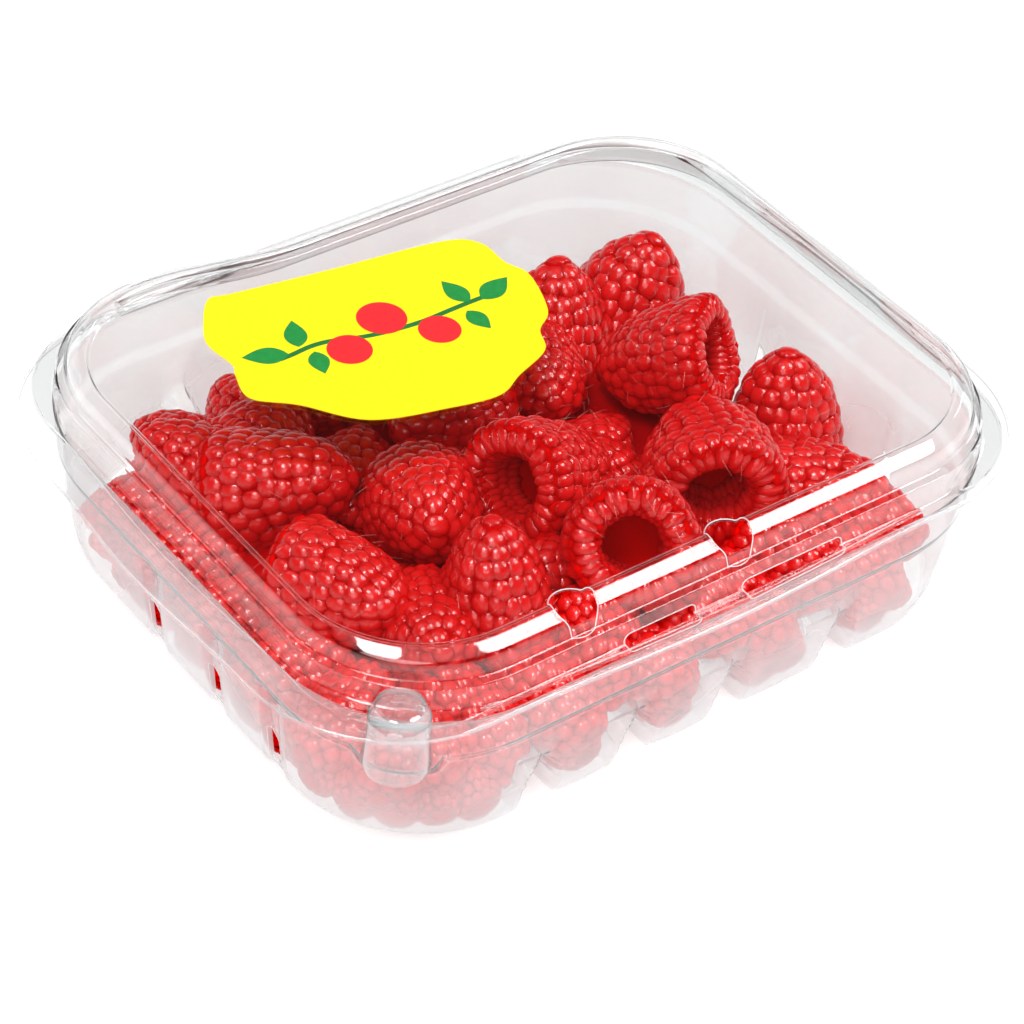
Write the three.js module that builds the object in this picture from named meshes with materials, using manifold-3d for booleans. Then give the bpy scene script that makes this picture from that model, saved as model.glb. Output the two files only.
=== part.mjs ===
import * as THREE from 'three';
import { mergeVertices } from 'three/addons/utils/BufferGeometryUtils.js';
import Module from 'manifold-3d';

// Clear clamshell punnet of raspberries: tray, hinged lid, label and the heap of fruit.
// Millimetres, +Z up, the long side with the corner snap at the front, towards -Y.

const wasm = await Module();
wasm.setup();

// Heights above the surface that the feet stand on
const floorHeight = 3.2;
const archHeight = 7.5;
const ledgeHeight = 22;
const flangeHeight = 31.9;
const lidFlangeHeight = 33.2;
const shoulderHeight = 38.2;
const panelHeight = 41.9;
const beadHeight = 43.3;

// Wall of the formed sheet, and the space kept round what lies in it
const wall = 0.8;
const fruitClearance = 0.5;
const labelThickness = 0.3;
const labelGap = 0.3;

// Tray wall: rounded rectangles that share one pair of corner centres
const cornerX = 43.4;
const cornerY = 30.7;
const ledgeRadius = 28;

// Rims, as half sizes, corner radius and how far each side bows out
const baseFlange = { halfX: 78.8, halfY: 60.9, radius: 29, bow: 1.5, backBow: 0 };
const lidFlange = { halfX: 74.2, halfY: 60, radius: 22, bow: 1.5, backBow: 0 };
const shoulder = { halfX: 72.1, halfY: 58.9, radius: 27 };
const panel = { halfX: 67.2, halfY: 51.7, radius: 22 };

// Living hinge along the back
const hingeY = 61.2;
const hingeZ = 33;
const hingeRadius = 0.45;
const hingeHalfLength = 46;

// Arched notches between the feet of the long sides, and fluted vents of the short sides
const notchPlaces = [-35.4, -15, 6, 30.6];
const notchHalfWidth = 4.6;
const notchDepth = 6.5;
const ventPlaces = [-26.5, -8.5, 10.5];
const fluteHalfWidth = 3;
const fluteDepth = 1.6;
const ventHeight = 6.4;
const ventHalfHeight = 3.6;
const ventHalfWidth = 1.9;
const footBulge = 0.7;

// Corner snap at the front left
const snapAngle = 225;
const snapSpread = 15;
const snapDepth = 3.2;

// Vents of the lid: round ones through the bead, slots in the wall under the shoulder
const beadVents = [-29.4, 3];
const beadVentY = -54.6;
const beadVentRadius = 4.1;
const slotVents = [{ x: -17.5, half: 6 }, { x: 12.5, half: 13 }];
const slotHalfHeight = 1.2;
const slotHeight = 36.2;

// Label on the lid
const labelHalfX = 30;
const labelHalfY = 20.5;
const labelX = -14.5;
const labelY = 20.5;
const labelTurn = -8.8;
const labelScallops = 14;
const scallopDepth = 0.7;

// One raspberry, and the lump that the shown ones are fused to
const berryRadius = 10.6;
const berryHeight = 22;
const berrySides = 8;
const heapHalfX = 52;
const heapHalfY = 40;
const heapRadius = 17;
const heapBottom = 4.6;
const heapTop = 16;

const clearSheet = { color: 0xeef3f5, roughness: 0.08, metalness: 0, transparent: true, opacity: 0.35 };
const labelPaper = { color: 0xffe600, roughness: 0.45, metalness: 0 };
const raspberryRed = { color: 0xd2141f, roughness: 0.35, metalness: 0 };

const radians = THREE.MathUtils.degToRad;

// Sides in order, seen from above: direction of travel and outward normal
const sides = [
  { along: [1, 0], out: [0, -1], flip: 1 },
  { along: [0, 1], out: [1, 0], flip: 1 },
  { along: [-1, 0], out: [0, 1], flip: -1 },
  { along: [0, -1], out: [-1, 0], flip: -1 },
];

// Share of the depth at each station across a notch and across a flute
const acrossNotch = [[-1, 0], [-0.55, 0.82], [0, 1], [0.55, 0.82], [1, 0]];
const acrossFlute = [[-1, 0], [0, 1], [1, 0]];

function sideStations(side, places) {
  const centres = places.map((place) => place * sides[side].flip).sort((a, b) => a - b);
  const stations = [];
  centres.forEach((centre, index) => {
    for (const [across, share] of side % 2 === 0 ? acrossNotch : acrossFlute) {
      stations.push({ side, centre, across, share, swell: 0 });
    }
    if (index < centres.length - 1) {
      const middle = (centre + centres[index + 1]) / 2;
      const reach = (centres[index + 1] - centre) / 8;
      stations.push({ side, centre: middle - reach, across: 0, share: 0, swell: 1 });
      stations.push({ side, centre: middle + reach, across: 0, share: 0, swell: 1 });
    }
  });
  return stations;
}

function cornerStations(side, angles) {
  return angles.map((angle) => ({ side, angle: -90 + 90 * side + angle }));
}

// Stations round the tray, from the front side's left end
function trayStations() {
  const plain = [0, 16, 31, 45, 59, 74, 90];
  const snap = [0, 15, 29, 36, 45, 54, 61, 75, 90];
  const stations = [];
  sides.forEach((_, side) => {
    const longSide = side % 2 === 0;
    stations.push(...sideStations(side, longSide ? notchPlaces : ventPlaces));
    stations.push(...cornerStations(side, side === 3 ? snap : plain));
  });
  return stations;
}

// Stations round the lid, whose sides are plain
function lidStations() {
  const stations = [];
  sides.forEach((_, side) => {
    for (const part of [-0.75, -0.4, 0, 0.4, 0.75]) {
      stations.push({ side, part });
    }
    stations.push(...cornerStations(side, [0, 13, 26, 39, 51, 64, 77, 90]));
  });
  return stations;
}

function wallRing(radius) {
  return { halfX: cornerX + radius, halfY: cornerY + radius, radius };
}

function insetRing(ring, inset) {
  return { ...ring, halfX: ring.halfX - inset, halfY: ring.halfY - inset, radius: ring.radius - inset };
}

function mixRings(first, second, share) {
  const mix = (key) => THREE.MathUtils.lerp(first[key], second[key], share);
  return { halfX: mix('halfX'), halfY: mix('halfY'), radius: mix('radius') };
}

// How deep a station lies inside a row's ring
function stationInset(station, row, longSide) {
  if (station.angle !== undefined) {
    const turn = Math.abs(station.angle - snapAngle) / snapSpread;
    const swell = turn < 1 ? Math.cos(turn * Math.PI / 2) : 0;
    return -snapDepth * swell * (row.snap ?? 0);
  }
  const depth = longSide ? notchDepth : fluteDepth;
  const share = (station.share ?? 0) * (row.notch ?? 0);
  return depth * share - footBulge * (station.swell ?? 0) * (row.bulge ?? 0);
}

function sidePoint(station, row, ring) {
  const { along, out } = sides[station.side];
  const longSide = station.side % 2 === 0;
  const length = (longSide ? ring.halfX : ring.halfY) - ring.radius;
  const reference = longSide ? cornerX : cornerY;
  const width = (longSide ? notchHalfWidth : fluteHalfWidth) * (row.width ?? 1);
  const share = station.part ?? (station.centre + station.across * width) / reference;
  const bow = (station.side === 2 ? ring.backBow : ring.bow) ?? 0;
  const swell = bow * (1 + Math.cos(Math.PI * share)) / 2;
  const reach = (longSide ? ring.halfY : ring.halfX) + swell - stationInset(station, row, longSide);
  return [along[0] * share * length + out[0] * reach, along[1] * share * length + out[1] * reach];
}

function cornerPoint(station, row, ring) {
  const turn = radians(station.angle);
  const reach = ring.radius - stationInset(station, row, false);
  const signX = station.side < 2 ? 1 : -1;
  const signY = station.side % 3 === 0 ? -1 : 1;
  const x = signX * (ring.halfX - ring.radius) + reach * Math.cos(turn);
  const y = signY * (ring.halfY - ring.radius) + reach * Math.sin(turn);
  return [x, y];
}

// One closed loop of points; a notch lifts the rows that pass under its arch
function loop(stations, row) {
  return stations.map((station) => {
    const atCorner = station.angle !== undefined;
    const [x, y] = atCorner ? cornerPoint(station, row, row.ring) : sidePoint(station, row, row.ring);
    const arched = !atCorner && station.side % 2 === 0 && row.arch !== undefined;
    const z = arched ? THREE.MathUtils.lerp(row.z, row.arch, station.share ?? 0) : row.z;
    return [x, y, z];
  });
}

// Closed shell between a lower and an upper skin; both run from the rim to a pole
function shell(lower, upper, lowerPole, upperPole) {
  const count = lower[0].length;
  const positions = [...lower.flat(), ...upper.flat(), lowerPole, upperPole];
  const upperStart = lower.length * count;
  const poleStart = upperStart + upper.length * count;
  const indices = [];
  const band = (a, b, flip) => {
    for (let i = 0; i < count; i += 1) {
      const j = (i + 1) % count;
      const quad = [a + i, b + i, a + j, a + j, b + i, b + j];
      indices.push(...(flip ? quad.reverse() : quad));
    }
  };
  const cap = (a, pole, flip) => {
    for (let i = 0; i < count; i += 1) {
      const triangle = [a + i, pole, a + (i + 1) % count];
      indices.push(...(flip ? triangle.reverse() : triangle));
    }
  };
  for (let row = 0; row < lower.length - 1; row += 1) {
    band(row * count, (row + 1) * count, false);
  }
  for (let row = 0; row < upper.length - 1; row += 1) {
    band(upperStart + row * count, upperStart + (row + 1) * count, true);
  }
  band(upperStart, 0, false);
  cap((lower.length - 1) * count, poleStart, false);
  cap(upperStart + (upper.length - 1) * count, poleStart + 1, true);
  const geometry = new THREE.BufferGeometry();
  geometry.setAttribute('position', new THREE.Float32BufferAttribute(positions.flat(), 3));
  geometry.setIndex(indices);
  return geometry;
}

function toSolid(geometry, matrix) {
  const bare = geometry.clone();
  bare.deleteAttribute('normal');
  bare.deleteAttribute('uv');
  if (matrix) {
    bare.applyMatrix4(matrix);
  }
  const merged = mergeVertices(bare, 1e-4);
  return new wasm.Manifold(new wasm.Mesh({
    numProp: 3,
    vertProperties: new Float32Array(merged.attributes.position.array),
    triVerts: new Uint32Array(merged.index.array),
  }));
}

function toGeometry(solid) {
  const mesh = solid.getMesh();
  const geometry = new THREE.BufferGeometry();
  geometry.setAttribute('position', new THREE.BufferAttribute(mesh.vertProperties, 3));
  geometry.setIndex(new THREE.BufferAttribute(mesh.triVerts, 1));
  return geometry;
}

function piece(name, geometry, look) {
  const mesh = new THREE.Mesh(geometry, new THREE.MeshStandardMaterial(look));
  mesh.name = name;
  return mesh;
}

function placed(x, y, z, turnX = 0, turnY = 0, turnZ = 0) {
  const turn = new THREE.Euler(radians(turnX), radians(turnY), radians(turnZ), 'ZYX');
  return new THREE.Matrix4().makeRotationFromEuler(turn).setPosition(x, y, z);
}

// Rows of the tray's outer skin, from the flange's edge to the middle of the floor
const trayRows = [
  { ring: baseFlange, z: flangeHeight, inset: 0, lift: 1 },
  { ring: wallRing(28.9), z: flangeHeight, snap: 1, lift: 1 },
  { ring: wallRing(28.6), z: ledgeHeight + 0.9, snap: 1 },
  { ring: wallRing(ledgeRadius - 0.4), z: ledgeHeight - 0.1, snap: 0.8, notch: 0.04, width: 0.4, lift: 0.3 },
  { ring: wallRing(27.2), z: 18, notch: 0.25, width: 0.5, bulge: 0.8 },
  { ring: wallRing(26.8), z: 13, notch: 0.62, width: 0.75, bulge: 1 },
  { ring: wallRing(26.3), z: 9, notch: 0.94, width: 0.95, bulge: 1 },
  { ring: wallRing(25.7), z: 4.4, arch: 8.1, notch: 1, bulge: 0.8 },
  { ring: wallRing(24.6), z: 1, arch: 7.7, notch: 1, bulge: 0.4, lift: 0.5 },
  { ring: wallRing(22.2), z: 0, arch: archHeight, notch: 1, inset: 0.4, lift: 1 },
  { ring: wallRing(15.5), z: 0, arch: 6.2, notch: 0.5, inset: 0, lift: 1 },
  { ring: wallRing(11.5), z: floorHeight, inset: 0, lift: 1 },
];

// The same row moved in by the wall, its notches widened to keep the wall's thickness
function innerRow(row, thickness) {
  const inset = thickness * (row.inset ?? 1);
  const lift = thickness * (row.lift ?? 0);
  const width = (row.width ?? 1) + 0.6 * inset / notchHalfWidth;
  const arch = row.arch === undefined ? undefined : row.arch + Math.max(lift, thickness);
  return { ...row, ring: insetRing(row.ring, inset), z: row.z + lift, width, arch };
}

// Roll of the living hinge, whose web joins the flange's back edge
function hingeSolid() {
  const roll = new THREE.CylinderGeometry(hingeRadius, hingeRadius, 2 * hingeHalfLength, 12);
  const web = new THREE.BoxGeometry(2 * hingeHalfLength, 0.9, wall);
  const rollSolid = toSolid(roll, placed(0, hingeY, hingeZ, 0, 0, 90));
  const webSolid = toSolid(web, placed(0, hingeY - 0.1, flangeHeight + wall / 2));
  return rollSolid.add(webSolid);
}

// Vent shaped as half an arch, its straight edge to the rear
function ventTool(signX, y) {
  const leaf = new THREE.Shape();
  leaf.moveTo(ventHalfWidth, ventHalfHeight);
  leaf.quadraticCurveTo(-ventHalfWidth * 0.4, ventHalfHeight * 0.9, -ventHalfWidth, -ventHalfHeight * 0.5);
  leaf.lineTo(-ventHalfWidth * 0.8, -ventHalfHeight);
  leaf.lineTo(ventHalfWidth, -ventHalfHeight);
  leaf.closePath();
  const slug = new THREE.ExtrudeGeometry(leaf, { depth: 16, bevelEnabled: false, curveSegments: 6 });
  slug.translate(0, 0, -8);
  return toSolid(slug, placed(signX * (cornerX + 24), y, ventHeight, 90, 0, 90));
}

function buildTray() {
  const stations = trayStations();
  const lower = trayRows.map((row) => loop(stations, row));
  const upper = trayRows.map((row) => loop(stations, innerRow(row, wall)));
  let solid = toSolid(shell(lower, upper, [0, 0, floorHeight], [0, 0, floorHeight + wall]));
  for (const signX of [-1, 1]) {
    for (const y of ventPlaces) {
      solid = solid.subtract(ventTool(signX, y));
    }
  }
  return solid.add(hingeSolid());
}

// Rows of the lid's top skin, from the flange's edge over shoulder and bead to the panel
const lidRows = [
  { ring: lidFlange, z: lidFlangeHeight + wall },
  { ring: insetRing(shoulder, -0.3), z: lidFlangeHeight + wall },
  { ring: insetRing(shoulder, -0.1), z: shoulderHeight - 1.2 },
  { ring: insetRing(shoulder, 0.3), z: shoulderHeight },
  { ring: mixRings(panel, shoulder, 0.66), z: shoulderHeight + 1.1 },
  { ring: mixRings(panel, shoulder, 0.6), z: shoulderHeight + 3.4 },
  { ring: mixRings(panel, shoulder, 0.5), z: beadHeight - 0.7 },
  { ring: mixRings(panel, shoulder, 0.32), z: beadHeight },
  { ring: mixRings(panel, shoulder, 0.14), z: beadHeight - 0.35 },
  { ring: mixRings(panel, shoulder, 0.02), z: panelHeight + 0.1 },
  { ring: insetRing(panel, 0.8), z: panelHeight },
];

// Underside of each row: moved square to the skin by the wall
function lidUnderRows() {
  return lidRows.map((row, index) => {
    const before = lidRows[Math.max(index - 1, 0)];
    const after = lidRows[Math.min(index + 1, lidRows.length - 1)];
    const run = before.ring.halfY - after.ring.halfY;
    const rise = after.z - before.z;
    const length = Math.hypot(run, rise);
    const inset = index === 0 ? 0 : wall * rise / length;
    return { ring: insetRing(row.ring, inset), z: row.z - wall * (index < 2 ? 1 : Math.abs(run) / length) };
  });
}

function beadVentTool(x) {
  const slug = new THREE.CylinderGeometry(beadVentRadius, beadVentRadius, 8, 20);
  return toSolid(slug, placed(x, beadVentY, beadHeight, 90, 0, 0));
}

function slotVentTool({ x, half }) {
  const outline = new THREE.Shape();
  outline.absarc(half - slotHalfHeight, 0, slotHalfHeight, -Math.PI / 2, Math.PI / 2);
  outline.absarc(slotHalfHeight - half, 0, slotHalfHeight, Math.PI / 2, 3 * Math.PI / 2);
  const slug = new THREE.ExtrudeGeometry(outline, { depth: 8, bevelEnabled: false, curveSegments: 4 });
  return toSolid(slug, placed(x, -shoulder.halfY + 4, slotHeight, 90, 0, 0));
}

function buildLid() {
  const stations = lidStations();
  const under = lidUnderRows();
  const upper = lidRows.map((row) => loop(stations, row));
  const lower = under.map((row) => loop(stations, row));
  let solid = toSolid(shell(lower, upper, [0, 0, panelHeight - wall], [0, 0, panelHeight]));
  for (const x of beadVents) {
    solid = solid.subtract(beadVentTool(x));
  }
  for (const slot of slotVents) {
    solid = solid.subtract(slotVentTool(slot));
  }
  return solid;
}

// Label with a scalloped edge, lying on the panel
function buildLabel() {
  const outline = new THREE.Shape();
  const steps = labelScallops * 4;
  for (let step = 0; step < steps; step += 1) {
    const turn = 2 * Math.PI * step / steps;
    const wave = scallopDepth * Math.abs(Math.sin(turn * labelScallops / 2));
    const square = (value) => Math.sign(value) * Math.sqrt(Math.abs(value));
    const x = (labelHalfX - scallopDepth + wave) * square(Math.cos(turn));
    const y = (labelHalfY - scallopDepth + wave) * square(Math.sin(turn));
    if (step === 0) {
      outline.moveTo(x, y);
    } else {
      outline.lineTo(x, y);
    }
  }
  const sheet = new THREE.ExtrudeGeometry(outline, { depth: labelThickness, bevelEnabled: false });
  const bottom = panelHeight + labelGap;
  return toSolid(sheet, placed(labelX, labelY, bottom, 0, 0, labelTurn));
}

// Raspberry with its open end at the origin and its tip up the axis
function berryGeometry(open) {
  const hollow = [[0, 12], [3, 10.5], [4.2, 3], [6, 0.2]];
  const closed = [[0, 0.6], [6, 0.2]];
  const skin = [[9.4, 2.6], [berryRadius, 8], [8.9, 14], [5.4, 19.4], [0, berryHeight]];
  const profile = [...(open ? hollow : closed), ...skin];
  const points = profile.map(([x, y]) => new THREE.Vector2(x, y));
  return new THREE.LatheGeometry(points, berrySides);
}

// A raspberry whose middle lies at the place given, its tip leaning by tilt towards heading
function berrySolid({ x, y, z, tilt, heading, size, open }) {
  const direction = radians(heading);
  const lean = radians(tilt);
  const tip = new THREE.Vector3(
    Math.sin(lean) * Math.cos(direction), Math.sin(lean) * Math.sin(direction), Math.cos(lean));
  const turn = new THREE.Quaternion().setFromUnitVectors(new THREE.Vector3(0, 1, 0), tip);
  const base = new THREE.Vector3(x, y, z).addScaledVector(tip, -size * berryHeight / 2);
  const matrix = new THREE.Matrix4().compose(base, turn, new THREE.Vector3(size, size, size));
  return toSolid(berryGeometry(open), matrix);
}

// Fruit on top: place of the middle, tilt from upright, heading of the tip, size, open end seen
const topFruit = [
  [-50, 32, 20, 60, 120, 1, 0], [-37, 14, 24, 95, 160, 1.12, 1], [-24, -4, 25, 80, 215, 1.05, 0],
  [0, -8, 24, 75, 30, 1.1, 1], [4, -30, 26, 120, 60, 1, 1], [30, -17, 22, 60, 60, 1.08, 1],
  [37, 7, 24, 85, 190, 1.08, 1], [52, 30, 20, 55, 60, 1.05, 0], [57, -10, 17, 30, 60, 1, 0],
  [32, 30, 20, 60, 120, 1.05, 0], [18, 15, 19, 70, 250, 1, 0], [48, -31, 18, 60, 300, 1.05, 0],
  [-25, -27, 25, 25, 60, 1, 0], [-47, -14, 25, 90, 200, 1.1, 0], [-39, -29, 21, 80, 250, 1, 0],
  [-31, 33, 20, 70, 20, 1.05, 0], [-6, 16, 21, 75, 200, 1.05, 0], [-8, 36, 19, 70, 330, 1, 0],
  [12, 38, 18, 50, 90, 1, 0], [14, -10, 18, 40, 90, 1, 0],
].map(([x, y, z, tilt, heading, size, open]) => ({ x, y, z, tilt, heading, size, open: open === 1 }));

// Lowest layer, seen through the walls: one berry to each foot, round the whole tray
function lowFruit() {
  const fruit = [];
  const add = (x, y) => {
    const index = fruit.length;
    fruit.push({ x, y, z: 12.5, tilt: 55 + 25 * (index % 3), heading: 70 * index, size: 0.98, open: false });
  };
  const longPlaces = [-25, -4.5, 18];
  for (const signY of [-1, 1]) {
    longPlaces.forEach((x) => add(x, signY * 43.5));
    [-50, 47].forEach((x) => add(x, signY * 39.5));
  }
  for (const signX of [-1, 1]) {
    [-18, 1, 21].forEach((y) => add(signX * 55.5, y));
  }
  return fruit;
}

// Space that the tray leaves for fruit
function trayInside() {
  const stations = trayStations();
  const rows = trayRows.slice(1).map((row) => innerRow(row, wall + fruitClearance));
  const floor = floorHeight + wall + fruitClearance;
  const lower = rows.map((row) => loop(stations, row));
  const top = { ...rows[0], z: panelHeight - 2 * wall };
  const geometry = shell(lower, [loop(stations, top)], [0, 0, floor], [0, 0, top.z]);
  return toSolid(geometry);
}

function heapCore() {
  const outline = new THREE.Shape();
  const [x, y, r] = [heapHalfX - heapRadius, heapHalfY - heapRadius, heapRadius];
  outline.absarc(x, y, r, 0, Math.PI / 2);
  outline.absarc(-x, y, r, Math.PI / 2, Math.PI);
  outline.absarc(-x, -y, r, Math.PI, 1.5 * Math.PI);
  outline.absarc(x, -y, r, 1.5 * Math.PI, 2 * Math.PI);
  const depth = heapTop - heapBottom;
  const lump = new THREE.ExtrudeGeometry(outline, { depth, bevelEnabled: false, curveSegments: 4 });
  return toSolid(lump, placed(0, 0, heapBottom));
}

function buildHeap() {
  let solid = heapCore();
  for (const fruit of [...lowFruit(), ...topFruit]) {
    solid = solid.add(berrySolid(fruit));
  }
  return largestBody(solid.intersect(trayInside()));
}

// Drops loose scraps, and fills a hollow that the fused fruit encloses
function largestBody(solid) {
  const bodies = solid.decompose();
  return bodies.reduce((best, body) => (body.volume() > best.volume() ? body : best));
}

const punnet = new THREE.Group();
punnet.add(piece('tray', toGeometry(buildTray()), clearSheet));
punnet.add(piece('lid', toGeometry(buildLid()), clearSheet));
punnet.add(piece('label', toGeometry(buildLabel()), labelPaper));
punnet.add(piece('raspberries', toGeometry(buildHeap()), raspberryRed));

// The origin lies under the middle of the punnet's box
const frontReach = baseFlange.halfY + baseFlange.bow;
const backReach = hingeY + hingeRadius;
punnet.position.y = (frontReach - backReach) / 2;

export default punnet;
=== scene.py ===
import math
import random

import bpy
import numpy as np
from mathutils import Matrix, Vector
from mathutils.bvhtree import BVHTree


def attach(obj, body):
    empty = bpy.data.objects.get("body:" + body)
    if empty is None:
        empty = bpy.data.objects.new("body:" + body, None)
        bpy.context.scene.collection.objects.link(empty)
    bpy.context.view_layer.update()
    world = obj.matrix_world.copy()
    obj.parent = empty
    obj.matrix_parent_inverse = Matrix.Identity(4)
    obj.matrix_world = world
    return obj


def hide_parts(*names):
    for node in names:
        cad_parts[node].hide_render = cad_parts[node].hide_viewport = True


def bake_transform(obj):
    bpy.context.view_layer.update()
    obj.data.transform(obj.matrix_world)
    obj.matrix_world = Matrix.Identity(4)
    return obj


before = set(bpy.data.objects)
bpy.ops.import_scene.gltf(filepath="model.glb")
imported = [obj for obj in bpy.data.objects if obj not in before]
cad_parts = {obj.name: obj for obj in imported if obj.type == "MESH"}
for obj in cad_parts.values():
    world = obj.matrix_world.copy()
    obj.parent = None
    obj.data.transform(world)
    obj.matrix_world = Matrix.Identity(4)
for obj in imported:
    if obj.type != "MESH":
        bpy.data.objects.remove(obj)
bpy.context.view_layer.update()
bpy.ops.object.select_all(action="DESELECT")

mm = 0.001
shiftY = 0.375  # the corner centres lie this far behind the frame's origin, in mm


# Camera and light

cameraSetup = {
    "lens": 118.94,
    "azimuth": -40.685,
    "elevation": 40.756,
    "roll": 6.005,
    "aim": (-8.7, -10.4, 20.0),  # mm, where the lens points
    "distance": 599.8,
}

studio = {
    # each softbox: direction, angle across in degrees, strength
    "softboxes": [
        ((0.494, -0.249, 0.832), 27.0, 1.7),
        ((-0.34, -0.06, 0.94), 20.0, 1.3),
        ((-0.32, 0.57, 0.755), 24.0, 0.2),
        ((0.866, 0.131, 0.482), 14.0, 0.2),
        ((-0.55, -0.45, 0.70), 40.0, 1.1),
    ],
    "worldStrength": 0.85,
    # sine of the height above the horizon, and brightness there
    "worldRamp": [(0.0, 1.0), (0.25, 0.95), (0.42, 0.03), (0.78, 0.02), (0.9, 0.8)],
    "floorSize": 6.0,
    "floorColour": "#A0A0A0",
    "floorGlow": 0.7,
    "bounces": {"all": 9, "diffuse": 2, "glossy": 1},
}


def backDirection(azimuth, elevation):
    turn, rise = math.radians(azimuth), math.radians(elevation)
    return Vector((math.sin(turn) * math.cos(rise), -math.cos(turn) * math.cos(rise), math.sin(rise)))


def addCamera(setup):
    back = backDirection(setup["azimuth"], setup["elevation"])
    aim = Vector(setup["aim"]) * mm
    bpy.ops.object.camera_add(location=aim + back * setup["distance"] * mm)
    camera = bpy.context.object
    roll = Matrix.Rotation(math.radians(setup["roll"]), 4, "Z")
    turn = (-back).to_track_quat("-Z", "Y").to_matrix().to_4x4() @ roll
    camera.rotation_euler = turn.to_euler()
    camera.data.lens = setup["lens"]
    camera.data.clip_start = 0.01
    bpy.context.scene.camera = camera
    camera.select_set(False)


def colour(code):
    parts = [int(code[i:i + 2], 16) / 255 for i in (1, 3, 5)]
    linear = [p / 12.92 if p <= 0.04045 else ((p + 0.055) / 1.055) ** 2.4 for p in parts]
    return (*linear, 1.0)


def newMaterial(name):
    material = bpy.data.materials.new(name)
    material.use_nodes = True
    material.node_tree.nodes.clear()
    return material, material.node_tree


def addNode(tree, kind, values=None, links=None, **settings):
    new = tree.nodes.new(kind)
    for key, value in settings.items():
        setattr(new, key, value)
    for key, value in (values or {}).items():
        new.inputs[key].default_value = value
    for key, socket in (links or {}).items():
        tree.links.new(socket, new.inputs[key])
    return new


def ramp(tree, factor, stops):
    new = addNode(tree, "ShaderNodeValToRGB", links={"Fac": factor})
    band = new.color_ramp
    while len(band.elements) < len(stops):
        band.elements.new(0.5)
    for element, (place, value) in zip(band.elements, stops):
        element.position = place
        element.color = colour(value) if isinstance(value, str) else (value, value, value, 1.0)
    return new.outputs["Color"]


def addStudio(setup):
    world = bpy.data.worlds.new("studio")
    bpy.context.scene.world = world
    world.use_nodes = True
    tree = world.node_tree
    tree.nodes.clear()
    place = addNode(tree, "ShaderNodeTexCoord")
    parts = addNode(tree, "ShaderNodeSeparateXYZ", links={0: place.outputs["Generated"]})
    light = ramp(tree, parts.outputs["Z"], setup["worldRamp"])
    shade = addNode(tree, "ShaderNodeBackground", {"Strength": setup["worldStrength"]}, {"Color": light})
    addNode(tree, "ShaderNodeOutputWorld", links={"Surface": shade.outputs[0]})

    for direction, across, strength in setup["softboxes"]:
        bpy.ops.object.light_add(type="SUN", location=(0, 0, 1))
        lamp = bpy.context.object
        lamp.rotation_euler = Vector(direction).to_track_quat("Z", "Y").to_euler()
        lamp.data.energy = strength
        lamp.data.angle = math.radians(across)
        lamp.select_set(False)

    bpy.ops.mesh.primitive_plane_add(size=setup["floorSize"], location=(0, 0, 0))
    floor = bpy.context.object
    floor.name = "floor"
    material, tree = newMaterial("matte_paper_ground")
    shade = addNode(tree, "ShaderNodeBsdfPrincipled", {
        "Base Color": colour(setup["floorColour"]), "Roughness": 0.9,
        "Emission Color": colour("#FFFFFF"), "Emission Strength": setup["floorGlow"]})
    addNode(tree, "ShaderNodeOutputMaterial", links={"Surface": shade.outputs[0]})
    floor.data.materials.append(material)
    floor.select_set(False)
    bpy.context.scene.view_settings.view_transform = "Standard"
    # light in the fruit and on the floor needs few turns, the stacked sheets need more
    cycles = bpy.context.scene.cycles
    cycles.max_bounces = setup["bounces"]["all"]
    cycles.diffuse_bounces = setup["bounces"]["diffuse"]
    cycles.glossy_bounces = setup["bounces"]["glossy"]
    cycles.transmission_bounces = setup["bounces"]["all"]


# Rings of the formed sheet

trayCorner = (43.4, 30.7)  # corner centres, mm
sheetThickness = 0.45

sideFrames = [((1, 0), (0, -1)), ((0, 1), (1, 0)), ((-1, 0), (0, 1)), ((0, -1), (-1, 0))]
cornerSigns = [(1, -1), (1, 1), (-1, 1), (-1, -1)]
rowKeys = ["halfX", "halfY", "radius", "bow", "backBow", "z", "fillet",
           "notch", "width", "arch", "flute", "snap", "bulge", "recess"]


def ringRow(halfX, halfY, radius, z, **extra):
    row = {"halfX": halfX, "halfY": halfY, "radius": radius, "z": z, "width": 1.0, **extra}
    return np.array([row.get(key, 0.0) for key in rowKeys], float)


def wallRow(offset, z, **extra):
    return ringRow(trayCorner[0] + offset, trayCorner[1] + offset, offset, z, **extra)


def roundedRows(rows, spacing, steps=4):
    # rounds each corner of the profile by its fillet and splits long stretches
    halfY, z, fillet = (rowKeys.index(key) for key in ("halfY", "z", "fillet"))
    path = [rows[0]]
    for before, row, after in zip(rows, rows[1:], rows[2:]):
        toBefore = math.hypot(before[halfY] - row[halfY], before[z] - row[z])
        toAfter = math.hypot(after[halfY] - row[halfY], after[z] - row[z])
        start = row + (before - row) * min(row[fillet] / toBefore, 0.45)
        end = row + (after - row) * min(row[fillet] / toAfter, 0.45)
        for step in range(steps + 1):
            t = step / steps
            path.append((1 - t) ** 2 * start + 2 * t * (1 - t) * row + t ** 2 * end)
    path.append(rows[-1])
    full = [path[0]]
    for first, second in zip(path, path[1:]):
        length = math.hypot(second[halfY] - first[halfY], second[z] - first[z])
        parts = max(1, math.ceil(length / spacing))
        full.extend(first + (second - first) * part / parts for part in range(1, parts + 1))
    return [dict(zip(rowKeys, row)) for row in full]


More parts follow.
